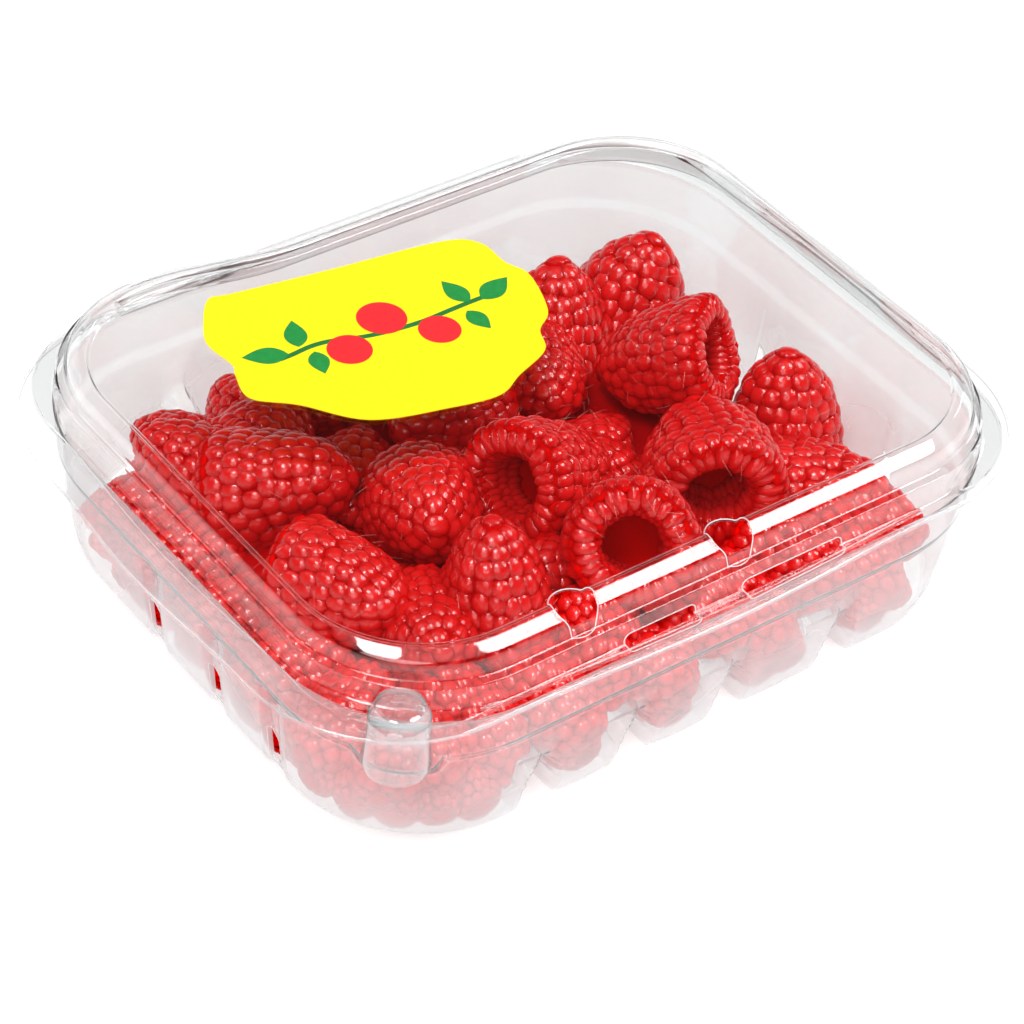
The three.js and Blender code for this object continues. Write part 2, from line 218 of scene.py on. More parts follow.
def ringStations(longPitch, shortPitch, cornerSteps):
    stations = []
    for side in range(4):
        count = round(2 * trayCorner[side % 2] / (longPitch, shortPitch)[side % 2])
        stations.extend((side, 2 * step / count - 1, 0, 0) for step in range(1, count))
        for step in range(cornerSteps + 1):
            stations.append((side, 1, 1, math.radians(90 * side - 90 + 90 * step / cornerSteps)))
    side, share, corner, turn = np.array(stations).T
    side = side.astype(int)
    return {
        "side": side, "share": share, "corner": corner > 0, "turn": turn,
        "along": np.array([sideFrames[s][0] for s in side], float),
        "out": np.array([sideFrames[s][1] for s in side], float),
        "sign": np.array([cornerSigns[s] for s in side], float),
    }


def smoothStep(low, high, value):
    t = np.clip((value - low) / (high - low), 0, 1)
    return t * t * (3 - 2 * t)


def ringLoop(st, row, inset, z):
    longSide = st["side"] % 2 == 0
    half = np.where(longSide, row["halfX"], row["halfY"]) - row["radius"]
    bow = np.where(st["side"] == 2, row["backBow"], row["bow"])
    reach = np.where(longSide, row["halfY"], row["halfX"]) + bow * (1 + np.cos(math.pi * st["share"])) / 2
    flat = st["along"] * (st["share"] * half)[:, None] + st["out"] * (reach - inset)[:, None]
    centre = st["sign"] * np.array([row["halfX"] - row["radius"], row["halfY"] - row["radius"]])
    arm = np.stack([np.cos(st["turn"]), np.sin(st["turn"])], 1) * (row["radius"] - inset)[:, None]
    xy = np.where(st["corner"][:, None], centre + arm, flat)
    return np.column_stack([xy[:, 0], xy[:, 1] + shiftY, np.broadcast_to(z, len(xy))])


def loftedFaces(rowCount, count, flip):
    faces = []
    for row in range(rowCount - 1):
        for i in range(count):
            j = (i + 1) % count
            quad = (row * count + i, row * count + j, (row + 1) * count + j, (row + 1) * count + i)
            faces.append(quad[::-1] if flip else quad)
    return faces


def addMesh(name, points, faces):
    mesh = bpy.data.meshes.new(name)
    mesh.from_pydata([tuple(p) for p in np.asarray(points, float) * mm], [], faces)
    mesh.validate()
    piece = bpy.data.objects.new(name, mesh)
    bpy.context.scene.collection.objects.link(piece)
    return piece


def applyModifier(piece, kind, **settings):
    modifier = piece.modifiers.new(kind.lower(), kind)
    for key, value in settings.items():
        setattr(modifier, key, value)
    bpy.ops.object.select_all(action="DESELECT")
    bpy.context.view_layer.objects.active = piece
    piece.select_set(True)
    bpy.ops.object.modifier_apply(modifier=modifier.name)
    piece.select_set(False)


def finishPiece(piece, material, body, replaced=None, smoothAngle=None):
    piece.data.materials.clear()
    piece.data.materials.append(material)
    if smoothAngle is not None:
        bpy.ops.object.select_all(action="DESELECT")
        bpy.context.view_layer.objects.active = piece
        piece.select_set(True)
        bpy.ops.object.shade_smooth_by_angle(angle=math.radians(smoothAngle))
        piece.select_set(False)
    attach(piece, body)
    if replaced:
        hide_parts(replaced)
    return piece


def shellPiece(name, loops, upward):
    count = len(loops[0])
    points = np.concatenate(loops)
    faces = loftedFaces(len(loops), count, upward)
    pole = len(points)
    points = np.vstack([points, points[-count:].mean(0)])
    last = pole - count
    for i in range(count):
        triangle = (last + i, last + (i + 1) % count, pole)
        faces.append(triangle[::-1] if upward else triangle)
    piece = addMesh(name, points, faces)
    applyModifier(piece, "SOLIDIFY", thickness=sheetThickness * mm, offset=-1, use_even_offset=False)
    return piece


def cutAway(piece, cutters):
    bpy.ops.object.select_all(action="DESELECT")
    for cutter in cutters:
        cutter.select_set(True)
    bpy.context.view_layer.objects.active = cutters[0]
    bpy.ops.object.join()
    tool = bpy.context.object
    tool.select_set(False)
    applyModifier(piece, "BOOLEAN", operation="DIFFERENCE", object=tool, solver="MANIFOLD")
    bpy.data.objects.remove(tool)


# Materials of the punnet

petSheet = {
    "gloss": 1.57,  # refractive index that sets how strongly the faces reflect
    "bend": 1.04,  # so thin a sheet hardly shifts what lies behind it
    "roughness": 0.05,
    "tint": "#FBFCFC",
    "lampTint": "#FBFBFB",
    "hazeColour": "#EAEAEC",
    # the sheet is drawn milkier towards the feet: share of the way down, and haze there
    "hazeTop": 0.032,
    "hazeByDepth": [(0.0, 0.8), (0.06, 0.25), (0.35, 0.38), (0.65, 0.6), (1.0, 1.0)],
}


# Thermoformed PET: crystal clear and glossy, with sharp lines of light where it bends and a faint haze
def petMaterial(name, haze):
    material, tree = newMaterial(name)
    clear = addNode(tree, "ShaderNodeBsdfPrincipled", {
        "Base Color": colour(petSheet["tint"]), "Roughness": 0.0, "IOR": petSheet["bend"],
        "Transmission Weight": 1.0, "Coat Weight": 1.0, "Coat Roughness": petSheet["roughness"],
        "Coat IOR": petSheet["gloss"]})
    place = addNode(tree, "ShaderNodeTexCoord")
    cloud = addNode(tree, "ShaderNodeTexNoise", {"Scale": 35.0, "Detail": 1.0},
                    {"Vector": place.outputs["Object"]})
    parts = addNode(tree, "ShaderNodeSeparateXYZ", links={0: place.outputs["Object"]})
    level = addNode(tree, "ShaderNodeMapRange", {1: 0.0, 2: petSheet["hazeTop"], 3: 1.0, 4: 0.0},
                    {0: parts.outputs["Z"]})
    share = ramp(tree, level.outputs[0], petSheet["hazeByDepth"])
    even = addNode(tree, "ShaderNodeMath", {1: haze * 2}, {0: cloud.outputs["Fac"]}, operation="MULTIPLY")
    faces = addNode(tree, "ShaderNodeNewGeometry")
    slope = addNode(tree, "ShaderNodeSeparateXYZ", links={0: faces.outputs["Normal"]})
    flat = addNode(tree, "ShaderNodeMath", links={0: slope.outputs["Z"]}, operation="ABSOLUTE")
    steep = addNode(tree, "ShaderNodeMapRange", {1: 0.3, 2: 0.95, 3: 1.0, 4: 0.08}, {0: flat.outputs[0]})
    drawn = addNode(tree, "ShaderNodeMath", links={0: share, 1: steep.outputs[0]}, operation="MULTIPLY")
    amount = addNode(tree, "ShaderNodeMath", links={0: even.outputs[0], 1: drawn.outputs[0]},
                     operation="MULTIPLY")
    milky = addNode(tree, "ShaderNodeBsdfDiffuse", {"Color": colour(petSheet["hazeColour"])})
    body = addNode(tree, "ShaderNodeMixShader",
                   links={0: amount.outputs[0], 1: clear.outputs[0], 2: milky.outputs[0]})
    passed = addNode(tree, "ShaderNodeBsdfTransparent", {"Color": colour(petSheet["lampTint"])})
    path = addNode(tree, "ShaderNodeLightPath")
    lit = addNode(tree, "ShaderNodeMath", links={0: path.outputs["Is Shadow Ray"],
                  1: path.outputs["Is Diffuse Ray"]}, operation="MAXIMUM")
    full = addNode(tree, "ShaderNodeMixShader",
                   links={0: lit.outputs[0], 1: body.outputs[0], 2: passed.outputs[0]})
    addNode(tree, "ShaderNodeOutputMaterial", links={"Surface": full.outputs[0]})
    return material


# Tray

tray = {
    "flange": {"halfX": 79.8, "halfY": 60.9, "radius": 29.0, "bow": 1.7, "backBow": 0.0},
    "flangeZ": 31.9,
    "notchPlaces": (-35.4, -15.0, 6.0, 30.6),
    "notchHalfWidth": 4.6,
    "notchDepth": 6.5,
    "archHeight": 7.5,
    "ventPlaces": (-26.5, -8.5, 10.5),
    "fluteHalfWidth": 3.0,
    "fluteDepth": (0.4, 1.4),  # right side, left side
    "ventHeight": 6.4,
    "ventHalf": (1.9, 3.6),
    "footBulge": 0.9,
    "snapTurn": 228.0,
    "snapHalfWidth": 7.0,
    "snapDepth": 4.0,
    "lip": 0.09,
    "lipGap": 0.15,
    # the stud of the corner snap: place, then radius and height down its side
    "stud": (-64.4, -53.5),
    "studSide": [(0.01, 37.0), (3.4, 37.0), (4.2, 36.5), (4.6, 34.8), (5.2, 34.3), (5.3, 31.0),
                 (5.9, 24.6), (5.5, 23.4), (0.01, 23.2)],
}


def trayRows():
    flange, z = tray["flange"], tray["flangeZ"]
    arch = tray["archHeight"]
    rows = [
        ringRow(**flange, z=z - 0.9),
        ringRow(**flange, z=z, fillet=0.5),
        wallRow(29.2, z, fillet=0.5),
        wallRow(28.5, 23.1, snap=1, fillet=0.5),
        wallRow(27.4, 21.0, snap=0.75, flute=0.2, fillet=0.5),
        wallRow(27.1, 18, flute=1, bulge=0.8, fillet=1),
        wallRow(26.8, 13, notch=0.14, width=0.5, flute=1, bulge=1, fillet=1),
        wallRow(26.3, 9, notch=0.6, width=0.8, flute=1, bulge=1, fillet=1),
        wallRow(25.7, 4.4, arch=8.1, notch=1, flute=0.9, bulge=0.8, fillet=1.5),
        wallRow(24.6, 0.6, arch=7.7, notch=1, flute=0.5, bulge=0.4, fillet=1.2),
        wallRow(22.2, 0, arch=arch, notch=1, fillet=1),
        wallRow(15.5, 0, arch=6.2, notch=0.5, fillet=1),
        wallRow(11.5, 3.2, fillet=1),
        wallRow(4, 3.2),
    ]
    return roundedRows(rows, 0.9)


def acrossShare(place, centre, half, flat):
    return 1 - smoothStep(flat, 1, np.abs(place - centre) / half)


def trayLoop(st, row):
    longSide = (st["side"] % 2 == 0) & ~st["corner"]
    shortSide = (st["side"] % 2 == 1) & ~st["corner"]
    flip = np.where(st["side"] < 2, 1, -1)
    place = st["share"] * np.where(longSide, *trayCorner) * flip
    notch = np.zeros(len(place))
    flute = np.zeros(len(place))
    flat = 0.45 if row["arch"] == 0 else 0.62
    for centre in tray["notchPlaces"]:
        notch = np.maximum(notch, acrossShare(place, centre, tray["notchHalfWidth"] * row["width"], flat))
    for centre in tray["ventPlaces"]:
        flute = np.maximum(flute, acrossShare(place, centre, tray["fluteHalfWidth"], 0.55))
    notch = notch * longSide
    fluteDepth = np.where(st["side"] == 1, *tray["fluteDepth"])
    inset = tray["notchDepth"] * row["notch"] * notch + fluteDepth * row["flute"] * flute * shortSide
    for left, right in zip(tray["notchPlaces"], tray["notchPlaces"][1:]):
        t = np.clip((place - left) / (right - left), 0, 1)
        inset = inset - tray["footBulge"] * row["bulge"] * np.sin(math.pi * t) ** 2 * longSide
    away = (st["turn"] - math.radians(tray["snapTurn"])) * row["radius"] / tray["snapHalfWidth"]
    away = np.where(st["corner"], away, 2)
    inset = inset - tray["snapDepth"] * row["snap"] * np.sqrt(np.clip(1 - away ** 2, 0, 1))
    z = row["z"] + notch * max(row["arch"] - row["z"], 0) * (row["arch"] > 0)
    return ringLoop(st, row, inset, z)


def outward(piece):
    bpy.ops.object.select_all(action="DESELECT")
    bpy.context.view_layer.objects.active = piece
    piece.select_set(True)
    bpy.ops.object.mode_set(mode="EDIT")
    bpy.ops.mesh.select_all(action="SELECT")
    bpy.ops.mesh.normals_make_consistent(inside=False)
    bpy.ops.object.mode_set(mode="OBJECT")
    piece.select_set(False)
    return piece


def ventCutter(side, y):
    # half an arch with its straight edge to the rear
    half, rise = tray["ventHalf"]
    outline = [(half, rise)]
    for step in range(1, 11):
        turn = step / 10 * math.pi / 2
        outline.append((half - 2 * half * math.sin(turn), -rise + 2 * rise * math.cos(turn)))
    outline.append((half, -rise))
    count = len(outline)
    points = [(side * 67.4 + x, y + shiftY + across, tray["ventHeight"] + up)
              for x in (-8, 8) for across, up in outline]
    faces = [(i, (i + 1) % count, count + (i + 1) % count, count + i) for i in range(count)]
    faces += [tuple(range(count)), tuple(range(2 * count - 1, count - 1, -1))]
    return outward(addMesh("ventCutter", points, faces))


def turnedPiece(name, place, side, count=48):
    # a closed solid of revolution from radius and height down its side
    points = []
    for radius, z in side:
        points += [(place[0] + radius * math.cos(2 * math.pi * i / count),
                    place[1] + radius * math.sin(2 * math.pi * i / count) + shiftY, z) for i in range(count)]
    faces = loftedFaces(len(side), count, False)
    last = len(points) - count
    faces += [tuple(range(count)), tuple(range(last, last + count))]
    return outward(addMesh(name, points, faces))


def outlineLip(piece, outline, way, radius):
    # the stamped edge of an opening: a fine rounded lip that lies on the sheet
    surface = BVHTree.FromPolygons([v.co / mm for v in piece.data.vertices],
                                   [tuple(face.vertices) for face in piece.data.polygons])
    seats = []
    for place in outline:
        hit = surface.ray_cast(Vector(place), Vector(way))[0]
        if hit is not None:
            seats.append(np.array(hit))
    seats = np.array(seats)
    count = len(seats)
    ahead = np.roll(seats, -1, 0) - np.roll(seats, 1, 0)
    ahead /= np.linalg.norm(ahead, axis=1)[:, None]
    side = np.cross(ahead, np.array(way, float))
    side /= np.linalg.norm(side, axis=1)[:, None]
    up = np.cross(side, ahead)
    rings = [seats + radius * (side * math.cos(a) + up * math.sin(a)) for a in np.arange(6) * math.pi / 3]
    points = np.stack(rings, 1).reshape(-1, 3)
    faces = [(6 * i + k, 6 * i + (k + 1) % 6, 6 * ((i + 1) % count) + (k + 1) % 6, 6 * ((i + 1) % count) + k)
             for i in range(count) for k in range(6)]
    return outward(addMesh("lip", points, faces))


def joinPieces(name, pieces):
    bpy.ops.object.select_all(action="DESELECT")
    for piece in pieces:
        piece.select_set(True)
    bpy.context.view_layer.objects.active = pieces[0]
    bpy.ops.object.join()
    joined = bpy.context.object
    joined.name = name
    joined.data.shade_smooth()
    joined.select_set(False)
    return joined


def ventLips(piece):
    wide, high = (size + tray["lipGap"] for size in tray["ventHalf"])
    lips = []
    for side in (-1, 1):
        for y in tray["ventPlaces"]:
            arc = [(wide - 2 * wide * math.sin(t), -high + 2 * high * math.cos(t))
                   for t in np.linspace(0, math.pi / 2, 16)]
            straight = [(wide, h) for h in np.linspace(-high, high, 14)[1:-1]]
            outline = [(side * 90, y + shiftY + across, tray["ventHeight"] + up)
                       for across, up in arc + straight]
            lips.append(outlineLip(piece, outline, (-side, 0, 0), tray["lip"]))
    return joinPieces("ventLips", lips)


def buildTray():
    st = ringStations(0.5, 0.6, 26)
    piece = shellPiece("formedTray", [trayLoop(st, row) for row in trayRows()], False)
    lips = ventLips(piece)
    cutAway(piece, [ventCutter(side, y) for side in (-1, 1) for y in tray["ventPlaces"]])
    material = petMaterial("clear_pet_tray", 0.42)
    finishPiece(lips, petMaterial("stamped_edge", 0.8), "base")
    return finishPiece(piece, material, "base", "tray", 35)


# Lid

lid = {
    "flange": {"halfX": 74.2, "halfY": 60.0, "radius": 22.0, "bow": 1.5, "backBow": 0.0},
    "flangeZ": 34.0,
    "shoulder": (72.1, 58.9, 27.0),
    "panel": (67.2, 51.7, 22.0),
    "shoulderZ": 38.2,
    "panelZ": 41.9,
    "beadZ": 43.3,
    # share of the way from the panel's edge to the shoulder, height, and fillet
    "beadProfile": [(0.0, 41.9, 0.2), (0.05, 42.6, 0.3), (0.13, 43.12, 0.4), (0.22, 43.3, 0.4),
                    (0.31, 43.22, 0.4), (0.37, 43.0, 0.3), (0.64, 41.88, 0.4), (0.71, 41.1, 0.4),
                    (0.74, 40.2, 0.4), (0.76, 38.65, 0.25)],
    "beadVents": (-30.7, 2.3),
    "beadVentY": -53.9,
    "beadVentRadius": 4.0,
    # middle and half length of each slot at the foot of the lid's wall
    "slots": ((-15.8, 7.5), (13.0, 11.0)),
    "slotZ": 34.5,
    "slotHalfHeight": 1.25,
    "slotDepth": (-60.4, -56.0),
    "lip": 0.09,
    # beside the hinge the lid's back half is drawn in, fully so from "to" onwards
    "recess": {"from": -45.0, "to": -14.0, "share": 0.08},
}


def lidRing(share, z, inset=0.0, **extra):
    # a ring between the panel's edge, at 0, and the shoulder, at 1
    ring = [p + (s - p) * share - inset for p, s in zip(lid["panel"], lid["shoulder"])]
    return ringRow(*ring, z, recess=1, **extra)


def lidRows():
    z = lid["flangeZ"]
    bead = [lidRing(share, height, fillet=fillet) for share, height, fillet in lid["beadProfile"]]
    rows = [
        ringRow(**lid["flange"], z=z - 0.9),
        ringRow(**lid["flange"], z=z, fillet=0.5),
        lidRing(1, z, -0.5, fillet=0.4),
        lidRing(1, lid["shoulderZ"] + 0.05, -0.05, fillet=0.3),
        *reversed(bead),
        lidRing(0, lid["panelZ"], 0.9, fillet=0.2),
        lidRing(0, lid["panelZ"], 6),
    ]
    return roundedRows(rows, 1.2, 3)


def lidLoop(st, row):
    loop = ringLoop(st, row, np.zeros(len(st["share"])), row["z"])
    recess = lid["recess"]
    drawn = recess["share"] * row["recess"] * smoothStep(recess["from"], recess["to"], loop[:, 0])
    loop[:, 1] -= drawn * np.maximum(loop[:, 1], 0)
    return loop


def beadVentCutter(x):
    bpy.ops.mesh.primitive_cylinder_add(
        vertices=40, radius=lid["beadVentRadius"] * mm, depth=8 * mm,
        location=(x * mm, (lid["beadVentY"] + shiftY) * mm, (lid["beadZ"] + 1) * mm))
    return bpy.context.object


def slotCutter(x, half):
    front, back = lid["slotDepth"]
    bpy.ops.mesh.primitive_cylinder_add(
        vertices=20, radius=lid["slotHalfHeight"] * mm, depth=(back - front) * mm,
        rotation=(math.pi / 2, 0, 0))
    cutter = bpy.context.object
    bpy.ops.object.transform_apply(location=False, rotation=True, scale=False)
    stretch = (half - lid["slotHalfHeight"]) * mm
    for vertex in cutter.data.vertices:
        vertex.co.x += math.copysign(stretch, vertex.co.x)
    cutter.location = (x * mm, ((front + back) / 2 + shiftY) * mm, lid["slotZ"] * mm)
    bpy.ops.object.transform_apply(location=True, rotation=False, scale=False)
    return cutter


def lidLips(piece):
    lips = []
    reach = lid["beadVentRadius"] + 0.12
    for x in lid["beadVents"]:
        ring = [(x + reach * math.cos(t), lid["beadVentY"] + shiftY + reach * math.sin(t), 60)
                for t in np.linspace(0, 2 * math.pi, 60, endpoint=False)]
        lips.append(outlineLip(piece, ring, (0, 0, -1), lid["lip"]))
    high = lid["slotHalfHeight"] + 0.1
    for x, half in lid["slots"]:
        straight = half - lid["slotHalfHeight"]
        ring = []
        for t in np.linspace(0, 2 * math.pi, 64, endpoint=False):
            ring.append((x + math.copysign(straight, math.cos(t)) + high * math.cos(t), -80,
                         lid["slotZ"] + high * math.sin(t)))
        lips.append(outlineLip(piece, ring, (0, 1, 0), lid["lip"]))
    return joinPieces("lidLips", lips)


def buildLid():
    st = ringStations(1.0, 2.2, 26)
    piece = shellPiece("formedLid", [lidLoop(st, row) for row in lidRows()], False)
    lips = lidLips(piece)
    cutters = [beadVentCutter(x) for x in lid["beadVents"]]
    cutters += [slotCutter(x, half) for x, half in lid["slots"]]
    cutAway(piece, cutters)
    material = petMaterial("clear_pet_lid", 0.002)
    finishPiece(piece, material, "cover", "lid", 35)
    finishPiece(lips, petMaterial("stamped_lid_edge", 1.6), "cover")
    stud = turnedPiece("snapStud", tray["stud"], tray["studSide"])
    applyModifier(stud, "SOLIDIFY", thickness=0.35 * mm, offset=-1)
    finishPiece(stud, petMaterial("clear_pet_stud", 0.25), "cover", None, 40)


# Living hinge

hingeWeb = {
    "half": 46.0,
    "thickness": 0.3,
    # height and reach of the fold from the tray's rim to the lid's rim
    "fold": [(60.2, 31.75), (61.3, 31.8), (62.0, 32.15), (62.3, 32.7), (62.3, 33.3), (62.0, 33.85),
             (61.3, 34.2), (60.0, 34.2)],
}


def buildHinge():
    fold = hingeWeb["fold"]
    count = 24
    points = [(hingeWeb["half"] * (2 * i / count - 1), y, z) for y, z in fold for i in range(count + 1)]
    row = count + 1
    faces = [(r * row + i, r * row + i + 1, (r + 1) * row + i + 1, (r + 1) * row + i)
             for r in range(len(fold) - 1) for i in range(count)]
    piece = addMesh("hingeWeb", points, faces)
    applyModifier(piece, "SOLIDIFY", thickness=hingeWeb["thickness"] * mm, offset=0)
    piece.data.materials.append(petMaterial("clear_pet_hinge", 0.1))
    piece.data.shade_smooth()
    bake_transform(piece)


# Label

label = {
    # places along the wavy edge, mm
    "edge": [(-42, 39), (-37.3, 44.7), (-32.1, 43.9), (-13.6, 40.9), (8.6, 37.6), (14.8, 33.5), (15.3, 26.5),
             (16.9, 21), (13.4, 10.9), (8.7, 7), (5.9, 1.9), (-2.2, -1.4), (-8.5, -4.1), (-18.1, -2.4),
             (-31.8, 2.1), (-39.9, 11.7), (-46.2, 17.7), (-44.9, 24.3), (-43.8, 26.9), (-44.4, 33.8)],
    "steps": 8,
    "thickness": 0.15,
    "turn": -9.0,
    "middle": (-14.5, 21.0),
}


def smoothLoop(corners, steps):
    # a closed curve through the given places
    count = len(corners)
    places = np.array(corners, float)
    curve = []
    for i in range(count):
        before, start, end, after = (places[(i + k) % count] for k in (-1, 0, 1, 2))
        for step in range(steps):
            t = step / steps
            bend = 2 * before - 5 * start + 4 * end - after
            turn = 3 * start - before - 3 * end + after
            curve.append(0.5 * (2 * start + (end - before) * t + bend * t ** 2 + turn * t ** 3))
    return curve


def flatPiece(name, outlines, z, thickness):
    points, faces = [], []
    for outline in outlines:
        faces.append(tuple(range(len(points), len(points) + len(outline))))
        points += [(x, y + shiftY, z) for x, y in outline]
    piece = addMesh(name, points, faces)
    applyModifier(piece, "SOLIDIFY", thickness=thickness * mm, offset=0)
    return outward(piece)


# Coated paper: flat, full print with a satin face and a trace of fibre
def printMaterial(name, low, high):
    material, tree = newMaterial(name)
    place = addNode(tree, "ShaderNodeTexCoord")
    grain = addNode(tree, "ShaderNodeTexNoise", {"Scale": 900.0, "Detail": 3.0},
                    {"Vector": place.outputs["Object"]})
    tone = ramp(tree, grain.outputs["Fac"], [(0.3, low), (0.7, high)])
    relief = addNode(tree, "ShaderNodeBump", {"Strength": 0.05, "Distance": 0.0001},
                     {"Height": grain.outputs["Fac"]})
    shade = addNode(tree, "ShaderNodeBsdfPrincipled", {"Roughness": 0.45},
                    {"Base Color": tone, "Normal": relief.outputs[0]})
    addNode(tree, "ShaderNodeOutputMaterial", links={"Surface": shade.outputs[0]})
    return material


motif = {
    # a leaf: place of its foot, heading, length and width
    "leaves": [((-19.5, 0.2), 165, 8.4, 4.6), ((-17.0, 1.4), 75, 7.6, 4.2), ((-15.0, -0.8), 262, 6.4, 3.8),
               ((19.5, 1.6), 30, 8.4, 4.6), ((17.0, 1.8), 105, 7.6, 4.2), ((15.4, -0.4), 285, 6.4, 3.8)],
    "stem": [(-21.5, -0.8), (-13.0, 1.4), (-4.0, -0.6), (6.0, -0.4), (14.0, 1.2), (21.5, 2.4)],
    "stemWidth": 1.1,
    # round fruit: place and radius
    "fruit": [((-9.0, -2.6), 4.1), ((0.2, 3.4), 4.6), ((8.4, -3.4), 3.9)],
}


def ontoLabel(x, y):
    turn = math.radians(label["turn"])
    return (label["middle"][0] + x * math.cos(turn) - y * math.sin(turn),
            label["middle"][1] + x * math.sin(turn) + y * math.cos(turn))


def leafOutline(foot, heading, length, width):
    turn = math.radians(heading)
    outline = []
    for step in range(24):
        share = step / 12 if step < 12 else 2 - step / 12
        side = 1 if step < 12 else -1
        along, across = length * share, side * width / 2 * math.sin(math.pi * share ** 0.8)
        outline.append(ontoLabel(foot[0] + along * math.cos(turn) - across * math.sin(turn),
                                 foot[1] + along * math.sin(turn) + across * math.cos(turn)))
    return outline


def stemOutline():
    places = np.array(motif["stem"])
    reach = np.linspace(0, 1, len(places))
    fine = np.linspace(0, 1, 40)
    x, y = (np.interp(fine, reach, places[:, axis]) for axis in (0, 1))
    y = np.convolve(np.pad(y, 3, mode="edge"), np.ones(7) / 7, "valid")
    half = motif["stemWidth"] / 2
    upper = [ontoLabel(a, b + half) for a, b in zip(x, y)]
    return upper + [ontoLabel(a, b - half) for a, b in zip(x[::-1], y[::-1])]


def buildLabel():
    z = lid["panelZ"] + 0.1
    piece = flatPiece("labelSheet", [smoothLoop(label["edge"], label["steps"])], z, label["thickness"])
    finishPiece(piece, printMaterial("yellow_coated_paper", "#FFDC00", "#FFE300"), "cover", "label")
    top = z + label["thickness"] / 2 + 0.02
    green = flatPiece("labelLeaves", [leafOutline(*leaf) for leaf in motif["leaves"]], top, 0.02)
    finishPiece(green, printMaterial("green_print", "#168036", "#1C8C3C"), "cover")
    stem = flatPiece("labelStem", [stemOutline()], top - 0.005, 0.02)
    finishPiece(stem, printMaterial("dark_green_print", "#126B2C", "#167434"), "cover")
    rounds = [[ontoLabel(x + r * math.cos(2 * math.pi * i / 48), y + r * math.sin(2 * math.pi * i / 48))
               for i in range(48)] for (x, y), r in motif["fruit"]]
    red = flatPiece("labelFruit", rounds, top + 0.02, 0.02)
    finishPiece(red, printMaterial("red_print", "#DC1E26", "#E4262C"), "cover")


# Raspberries

drupelet = {"fine": (10, 8), "coarse": (6, 5), "cutHeight": -0.25}

berry = {
    "radius": 8.9,  # of the layer that the drupelets' middles lie in, mm
    "height": 19.5,
    "across": 2.3,  # spacing round a row, and from row to row
    "rowPitch": 2.4,
    "rimCount": 27,
    "rise": 1.45,  # how far a drupelet stands out
    "overlap": 0.85,
    # the rounded rim of the open end: its middle, height and thickness, and where rows count as rim
    "rim": (7.15, 1.1, 1.8),
    "rimTop": 1.6,
    "hollowSide": (6.0, 8.0),
    # radius, height and painted light down into the hollow; the low values give the bright, lit red of the
    # flesh ramps
    "hollow": [(0, 13.0, 0.1), (2.8, 12.2, 0.15), (4.6, 8.0, 0.3), (5.3, 2.2, 0.45)],
    # the closed end: radius, height and painted light there
    "plug": [(0, 1.6, 0.2), (4.6, 1.4, 0.3)],
    "coreSides": 24,
}


def drupeletMesh(segments, rings):
    # a plump bead, flat below where it sits in the berry
    bpy.ops.mesh.primitive_uv_sphere_add(segments=segments, ring_count=rings, radius=1, location=(0, 0, 0))
    bead = bpy.context.object
    bpy.ops.object.mode_set(mode="EDIT")
    bpy.ops.mesh.select_all(action="SELECT")
    bpy.ops.mesh.bisect(
        plane_co=(0, 0, drupelet["cutHeight"]), plane_no=(0, 0, 1), clear_inner=True, use_fill=True)
    bpy.ops.object.mode_set(mode="OBJECT")
    points = np.array([vertex.co for vertex in bead.data.vertices])
    faces = [tuple(face.vertices) for face in bead.data.polygons]
    mesh = bead.data
    bpy.data.objects.remove(bead)
    bpy.data.meshes.remove(mesh)
    return points, faces


def berryPath(deep):
    # profile of the layer of drupelets as radius and height, from the hollow over the rim to the tip
    path = [(5.0, 6.4), (5.3, 3.4)] if deep else []
    middle, height, thick = berry["rim"]
    for turn in range(190, 331, 10):
        angle = math.radians(turn)
        path.append((middle + thick * math.cos(angle), height + thick * math.sin(angle)))
    for step in range(1, 25):
        share = step / 24
        height = 0.4 + (berry["height"] - 0.4) * math.sin(share * math.pi / 2)
        path.append((berry["radius"] * (1 - (height / berry["height"]) ** 2.3) ** 0.7, height))
    path[-1] = (0.0, berry["height"])
    return np.array(path)


def berryRows(deep):
    path = berryPath(deep)
    reach = np.concatenate([[0], np.cumsum(np.hypot(*np.diff(path, axis=0).T))])
    count = round(reach[-1] / berry["rowPitch"])
    rows = []
    for place in np.linspace(reach[-1] / count * 0.35, reach[-1], count):
        near = np.clip([place - 0.5, place, place + 0.5], 0, reach[-1])
        radius, height = (np.interp(near, reach, path[:, axis]) for axis in (0, 1))
        rows.append((radius[1], height[1], radius[2] - radius[0], height[2] - height[0]))
    return rows


def beadCount(radius, height):
    if radius < 0.5:
        return 1
    reach, top = berry["hollowSide"]
    if height < berry["rimTop"] or (radius < reach and height < top):
        return berry["rimCount"]
    return max(3, round(2 * math.pi * radius / berry["across"]))


